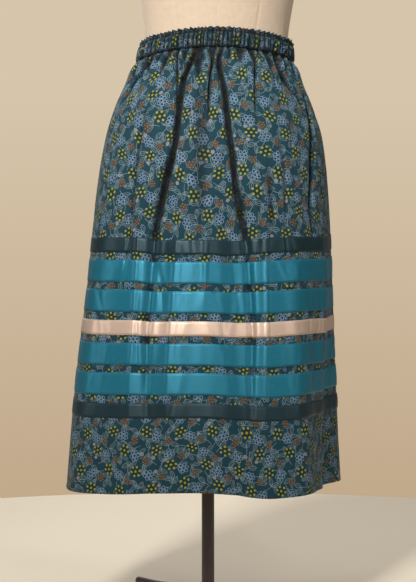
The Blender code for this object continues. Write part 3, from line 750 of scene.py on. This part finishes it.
# height above the floor, half width, centre's x, depth in front, depth behind, squareness
TORSO_SECTIONS = np.array((
    (0.745, 0.150, 0.006, 0.104, 0.122, 2.2),
    (0.800, 0.162, 0.008, 0.116, 0.137, 2.2),
    (0.860, 0.166, 0.010, 0.119, 0.134, 2.2),
    (0.910, 0.153, 0.012, 0.110, 0.116, 2.2),
    (0.950, 0.139, 0.0135, 0.1035, 0.1025, 2.1),
    (0.972, 0.134, 0.0140, 0.1015, 0.1005, 2.0),
    (0.995, 0.1310, 0.0145, 0.1002, 0.1000, 2.0),
    (1.020, 0.1300, 0.0150, 0.1002, 0.1005, 2.0),
    (1.048, 0.1310, 0.0155, 0.1004, 0.1020, 2.0),
    (1.100, 0.138, 0.017, 0.109, 0.106, 2.1),
    (1.150, 0.147, 0.018, 0.123, 0.109, 2.1),
    (1.200, 0.155, 0.018, 0.132, 0.112, 2.1),
    (1.250, 0.160, 0.018, 0.127, 0.115, 2.2),
    (1.300, 0.166, 0.018, 0.113, 0.115, 2.3),
    (1.345, 0.169, 0.018, 0.098, 0.108, 2.3),
    (1.380, 0.154, 0.018, 0.083, 0.095, 2.2),
    (1.405, 0.121, 0.018, 0.070, 0.080, 2.1),
    (1.425, 0.086, 0.018, 0.060, 0.067, 2.0),
    (1.450, 0.062, 0.018, 0.054, 0.058, 2.0),
    (1.500, 0.056, 0.018, 0.050, 0.053, 2.0),
))
PRINCESS_SEAMS = (0, 40, 90, 142, 180, -142, -90, -40)
SEAM_SINK = 0.0010

# Jersey: fine matt ribs of undyed linen yarn
linen, tree, shader = new_material("linen_jersey_cover")
place = node("UVMap", uv_map="cut")
in_mm = node("VectorMath", (place, (1000, 1000, 0)), operation="MULTIPLY")
# wales are 0.8 mm apart; they are drawn 1.4 mm apart to show
wales = node("TexWave", {"Vector": in_mm, "Scale": 0.224, "Distortion": 1.2}, bands_direction="X")
courses = node("TexWave", {"Vector": in_mm, "Scale": 0.30, "Distortion": 1.5}, bands_direction="Y")
slubs = node("TexNoise", {"Vector": in_mm, "Scale": 0.08, "Detail": 5.0, "Roughness": 0.65})
knit = node("Math", (wales, courses), operation="MULTIPLY")
colour = node("Mix", {0: slubs.outputs["Fac"], 6: linear("#b39c84"), 7: linear("#c6b29a")}, data_type="RGBA")
shade = node("MapRange", {"Value": knit, "To Min": 0.90, "To Max": 1.04})
colour = node("Mix", {0: 1.0, 6: colour, 7: shade}, data_type="RGBA", blend_type="MULTIPLY")
bumps = node("Bump", {"Height": knit, "Strength": 0.35, "Distance": 0.0003})
bumps = node("Bump", {"Height": slubs, "Strength": 0.3, "Distance": 0.0006, "Normal": bumps})
rough = node("MapRange", {"Value": slubs, "To Min": 0.80, "To Max": 0.95})
surface(colour, rough, bumps)
shader.inputs["Sheen Weight"].default_value = 0.15

heights = np.linspace(TORSO_SECTIONS[-1, 0], TORSO_SECTIONS[0, 0], 150)
turns = np.linspace(-180, 180, 289)
turn, height = np.meshgrid(turns, heights)
half_width, centre, front, back, squareness = read_table(TORSO_SECTIONS, height)
radius = section_radius(turn, half_width, front, back, squareness)
for seam in PRINCESS_SEAMS:
    radius = radius - SEAM_SINK * bell(degrees_apart(turn, seam) / 0.9)
torso = np.stack((
    centre + radius * np.sin(np.radians(turn)), -radius * np.cos(np.radians(turn)), height,
), axis=-1)
# turned over at the neck and underneath, and closed to the middle
rings = [torso]
for edge in (0, -1):
    axis = np.array((float(read_table(TORSO_SECTIONS, heights[edge])[1]), 0.0, heights[edge]))
    closing = [axis + (torso[edge] - axis) * share for share in (0.97, 0.8, 0.5, 0.2, 0.0)]
    rings = [closing[::-1], *rings] if edge == 0 else [*rings, closing]
torso = np.concatenate([np.array(ring) for ring in rings])
lengths = np.broadcast_to(np.linspace(0, 1.0, torso.shape[1]), torso.shape[:2])
fall = np.concatenate(([0.0], np.cumsum(np.linalg.norm(np.diff(torso, axis=0), axis=-1).mean(axis=1))))
place = np.stack((lengths, np.broadcast_to((2.0 - fall)[:, None], lengths.shape)), axis=-1)
form = strip("form_torso_cover", torso, place, linen, closed=True)
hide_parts("form_torso")
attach(form, "root")


def turned(name, profile, material, at, slot, node_name, segments=72):
    """A closed profile of (radius, height) points turned about a vertical axis at (x, y)."""
    if profile[0][0] > 0:
        profile = [*profile, profile[0]]
    radius, height = np.array(profile).T[:, :, None]
    spin = np.linspace(0, TURN, segments + 1)
    points = np.stack(np.broadcast_arrays(radius * np.cos(spin), radius * np.sin(spin), height), axis=-1)
    piece = strip(name, points, None, material, closed=True)
    piece.data.set_sharp_from_angle(angle=math.radians(38))
    piece.location = (*at, 0)
    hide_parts(node_name)
    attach(piece, "root")
    return piece


def rounded(profile, radius, steps=4):
    """A profile with each of its corners rounded, save those on the axis."""
    smooth = []
    for i, corner in enumerate(profile):
        if corner[0] == 0:
            smooth.append(corner)
            continue
        corner = np.array(corner)
        before, after = np.array(profile[i - 1]), np.array(profile[(i + 1) % len(profile)])
        cuts = []
        for other in (before, after):
            reach = np.linalg.norm(other - corner)
            cuts.append(corner + (other - corner) * min(radius, reach * 0.45) / reach)
        for k in range(steps + 1):
            t = k / steps
            smooth.append(tuple((1 - t) ** 2 * cuts[0] + 2 * t * (1 - t) * corner + t * t * cuts[1]))
    return smooth


# Beech: pale brown with fine rays, turned, sanded and lacquered
beech, tree, shader = new_material("lacquered_beech")
spot = node("TexCoord")
grain_place = node("Mapping", {"Vector": spot.outputs["Object"], "Scale": (220, 220, 28)})
grain = node("TexNoise", {"Vector": grain_place, "Scale": 1.0, "Detail": 5.0, "Distortion": 0.8})
rays = node("TexWave", {"Vector": spot.outputs["Object"], "Scale": 60, "Distortion": 3.0}, wave_type="RINGS")
figure = node("Math", (rays, 0.3, grain.outputs["Fac"]), operation="MULTIPLY_ADD")
colour = node("Mix", {0: figure, 6: linear("#8f6238"), 7: linear("#c39a66")}, data_type="RGBA")
gloss = node("MapRange", {"Value": grain.outputs["Fac"], "To Min": 0.30, "To Max": 0.46})
bumps = node("Bump", {"Height": grain.outputs["Fac"], "Strength": 0.10, "Distance": 0.0003})
surface(colour, gloss, bumps)
shader.inputs["Coat Weight"].default_value = 0.3

GAP = 0.0003
neck_top = TORSO_SECTIONS[-1, 0] + GAP
cap_profile = (
    (0.000, 0.046), (0.0045, 0.0455), (0.0085, 0.0425), (0.0108, 0.0375), (0.0102, 0.032),
    (0.0080, 0.0265), (0.0072, 0.0225), (0.0105, 0.0195), (0.021, 0.0170), (0.033, 0.0148),
    (0.041, 0.0125), (0.0465, 0.0095), (0.049, 0.0055), (0.049, 0.000), (0.000, 0.000),
)
turned(
    "neck_cap_turned", rounded([(r, neck_top + h) for r, h in cap_profile], 0.0012, 3), beech,
    (TORSO_SECTIONS[-1, 2], 0), "turned_beech", "neck_cap",
)

# ---- The stand ----
# A steel plate and collar under the form, a tube pole, and three tube legs set low in a cast
# hub, all powder coated in dark brown, on rubber feet.

# Powder coat: a dark, slightly orange-peeled film over steel
coat, tree, shader = new_material("powder_coated_steel")
spot = node("TexCoord")
peel = node("TexNoise", {"Vector": spot.outputs["Object"], "Scale": 420, "Detail": 2.0})
scuff = node("TexNoise", {"Vector": spot.outputs["Object"], "Scale": 35, "Detail": 6.0, "Roughness": 0.7})
colour = node("Mix", {0: scuff.outputs["Fac"], 6: linear("#2a1e1b"), 7: linear("#40322d")}, data_type="RGBA")
gloss = node("MapRange", {"Value": scuff.outputs["Fac"], "To Min": 0.34, "To Max": 0.58})
bumps = node("Bump", {"Height": peel.outputs["Fac"], "Strength": 0.15, "Distance": 0.0002})
surface(colour, gloss, bumps)

# Rubber: matt black, moulded, with a bloom of dust
rubber, tree, shader = new_material("moulded_rubber")
spot = node("TexCoord")
dust = node("TexNoise", {"Vector": spot.outputs["Object"], "Scale": 120, "Detail": 5.0})
colour = node("Mix", {0: dust.outputs["Fac"], 6: linear("#121212"), 7: linear("#2c2a28")}, data_type="RGBA")
gloss = node("MapRange", {"Value": dust.outputs["Fac"], "To Min": 0.65, "To Max": 0.9})
bumps = node("Bump", {"Height": dust.outputs["Fac"], "Strength": 0.2, "Distance": 0.0003})
surface(colour, gloss, bumps)

POLE_RADIUS = 0.0115
PLATE_HEIGHT = 0.006
COLLAR_HEIGHT = 0.036
COLLAR_RADIUS = 0.021
HUB_RADIUS = 0.030
HUB_BOTTOM = 0.006
HUB_TOP = 0.038
LEG_RADIUS = 0.007
LEG_REACH = 0.202
LEG_ABOVE_HUB_BOTTOM = 0.014        # where the leg's axis leaves the hub
LEG_ANGLES = {"rear_left": 132, "front": 252, "right": 12}   # counter-clockwise from +X
FOOT_RADIUS = 0.016
FOOT_HEIGHT = 0.008
FOOT_REACH = 0.186

plate_low, plate_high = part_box("underside_plate")
plate_middle = (plate_low + plate_high) / 2
plate_half = (plate_high - plate_low) / 2
half = PLATE_HEIGHT / 2
plate = turned(
    "underside_plate_steel", rounded([(0, half), (1, half), (1, -half), (0, -half)], 0.0015),
    coat, (0, 0), "painted_steel", "underside_plate", segments=96,
)
plate.location = plate_middle
plate.scale = (plate_half.x, plate_half.y, 1)

pole_top = plate_low.z
bore = POLE_RADIUS + GAP
collar_profile = [
    (bore, pole_top), (COLLAR_RADIUS * 1.6, pole_top), (COLLAR_RADIUS * 1.6, pole_top - 0.004),
    (COLLAR_RADIUS, pole_top - 0.007), (COLLAR_RADIUS, pole_top - COLLAR_HEIGHT),
    (bore, pole_top - COLLAR_HEIGHT),
]
turned("pole_collar_steel", rounded(collar_profile, 0.001), coat, (0, 0), "painted_steel", "pole_collar")
pole_profile = [(0, pole_top), (POLE_RADIUS, pole_top), (POLE_RADIUS, HUB_TOP + GAP), (0, HUB_TOP + GAP)]
turned("pole_tube", rounded(pole_profile, 0.0008), coat, (0, 0), "painted_steel", "pole")
hub_profile = [
    (0.000, HUB_TOP), (0.016, HUB_TOP), (0.019, HUB_TOP - 0.005), (HUB_RADIUS, HUB_TOP - 0.008),
    (HUB_RADIUS, HUB_BOTTOM + 0.004), (HUB_RADIUS - 0.004, HUB_BOTTOM), (0.000, HUB_BOTTOM),
]
turned("base_hub_cast", rounded(hub_profile, 0.003), coat, (0, 0), "painted_steel", "base_hub")

foot_profile = [
    (0, FOOT_HEIGHT), (FOOT_RADIUS * 0.85, FOOT_HEIGHT), (FOOT_RADIUS, 0.0025), (FOOT_RADIUS, 0), (0, 0),
]
leg_start, leg_high = HUB_RADIUS + GAP, HUB_BOTTOM + LEG_ABOVE_HUB_BOTTOM
leg_low = FOOT_HEIGHT + GAP + LEG_RADIUS
bend_start, bend_end = leg_start + 0.020, FOOT_REACH - 0.030
reaches = np.concatenate(([leg_start], np.linspace(bend_start, bend_end, 25), [LEG_REACH - 0.003]))
leg_heights = leg_high + (leg_low - leg_high) * smooth_step(bend_start, bend_end, reaches)
for name, heading in LEG_ANGLES.items():
    heading = math.radians(heading)
    ahead = np.array((math.cos(heading), math.sin(heading), 0.0))
    beside = np.array((-math.sin(heading), math.cos(heading), 0.0))
    route = ahead * reaches[:, None] + np.array((0, 0, 1.0)) * leg_heights[:, None]
    run = np.gradient(route, axis=0)
    run /= np.linalg.norm(run, axis=1, keepdims=True)
    upward = np.cross(run, -beside)
    # a flat end at the hub, the tube, then a domed end plug
    tube = [(route[0], upward[0], 0.0)]
    tube += [(point, normal, LEG_RADIUS) for point, normal in zip(route, upward)]
    for reach, share in ((0.002, 0.86), (0.003, 0.60), (0.003, 0.0)):
        tube.append((route[-1] + ahead * reach, upward[-1], LEG_RADIUS * share))
    spin = np.linspace(0, -TURN, 33)
    rings = np.array([
        point + size * (np.cos(spin)[:, None] * normal + np.sin(spin)[:, None] * beside)
        for point, normal, size in tube
    ])
    leg = strip(f"leg_{name}_tube", rings, None, coat, closed=True)
    leg.data.set_sharp_from_angle(angle=math.radians(50))
    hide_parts(f"leg_{name}")
    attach(leg, "root")
    turned(
        f"foot_{name}_rubber", rounded(foot_profile, 0.0015), rubber,
        tuple(FOOT_REACH * ahead[:2]), "black_rubber", f"foot_{name}", segments=48,
    )

# ---- The studio ----
# A round of plain pale floor in a plain warm room. A soft box above the camera, narrow ones at
# its other side and to the left and right, and one behind light it, with a soft ceiling light.

# Floor paint: pale, warm and matt, a little uneven
floor_paint, tree, shader = new_material("pale_floor")
spot = node("TexCoord")
cloudy = node("TexNoise", {"Vector": spot.outputs["Object"], "Scale": 1.5, "Detail": 3.0})
colour = node("Mix", {0: cloudy.outputs["Fac"], 6: linear("#e6d7c0"), 7: linear("#ecdfca")}, data_type="RGBA")
tree.links.new(colour.outputs[2], shader.inputs["Base Color"])
shader.inputs["Roughness"].default_value = 0.8

bm = bmesh.new()
bmesh.ops.create_circle(bm, cap_ends=True, segments=96, radius=1.4)
mesh = bpy.data.meshes.new("floor")
bm.to_mesh(mesh)
bm.free()
mesh.materials.append(floor_paint)
floor = add_to_scene("floor", mesh)

LAMPS = (
    # name, place, aim, width, height, power in watts, spread in degrees
    ("key_softbox", (-0.95, -2.7, 2.7), (0.0, 0.0, 1.24), 0.5, 0.8, 14.4, 50),
    ("front_strip", (0.95, -3.4, 2.0), (0.0, 0.0, 1.0), 0.30, 1.2, 5.0, 80),
    ("far_left_strip", (-2.7, -0.45, 1.5), (0.0, 0.0, 0.75), 0.30, 1.6, 6.0, 120),
    ("right_strip", (2.5, -1.45, 1.6), (0.0, 0.0, 0.75), 0.30, 1.6, 6.0, 120),
    ("back_softbox", (-0.8, 2.8, 2.4), (0.0, 0.0, 0.8), 1.0, 1.0, 15.0, 150),
)
for name, at, aim, width, height, power, spread in LAMPS:
    lamp = bpy.data.lights.new(name, "AREA")
    lamp.shape = "RECTANGLE"
    lamp.size, lamp.size_y = width, height
    lamp.energy = power
    lamp.spread = math.radians(spread)
    softbox = add_to_scene(name, lamp)
    softbox.location = at
    softbox.rotation_euler = (Vector(aim) - Vector(at)).to_track_quat("-Z", "Y").to_euler()

ceiling = bpy.data.lights.new("ceiling", "SUN")
ceiling.energy = 0.78
ceiling.angle = math.radians(100)
add_to_scene("ceiling", ceiling).location = (0, 0, 4)

# the walls are seen as warm paint, darker towards the floor, and light the room evenly
world = bpy.data.worlds.new("room")
world.use_nodes = True
tree = world.node_tree
wall_light = tree.nodes["Background"]
wall_light.inputs["Color"].default_value = linear("#efeae0")
wall_light.inputs["Strength"].default_value = 0.19
sight = node("SeparateXYZ", (node("TexCoord").outputs["Generated"],))
height = node("MapRange", {"Value": sight.outputs["Z"], "From Min": -0.14, "From Max": 0.06})
wall_colour = node("Mix", {0: height, 6: linear("#c1a98c"), 7: linear("#d6c5ab")}, data_type="RGBA")
wall_seen = node("Background", (wall_colour, 1.0))
first_sight = node("LightPath")
room = node("MixShader", (first_sight.outputs["Is Camera Ray"], wall_light, wall_seen))
tree.links.new(room.outputs[0], tree.nodes["World Output"].inputs["Surface"])
bpy.context.scene.world = world
bpy.context.scene.view_settings.view_transform = "Standard"

# a long lens at about half the skirt's height, tipped down a little
lens = bpy.data.cameras.new("camera")
lens.sensor_width = 36
lens.lens = 118.6
camera = add_to_scene("camera", lens)
camera.location = (0, -3.5, 0.722)
camera.rotation_euler = (math.radians(90 - 2.39), 0, 0)
bpy.context.scene.camera = camera
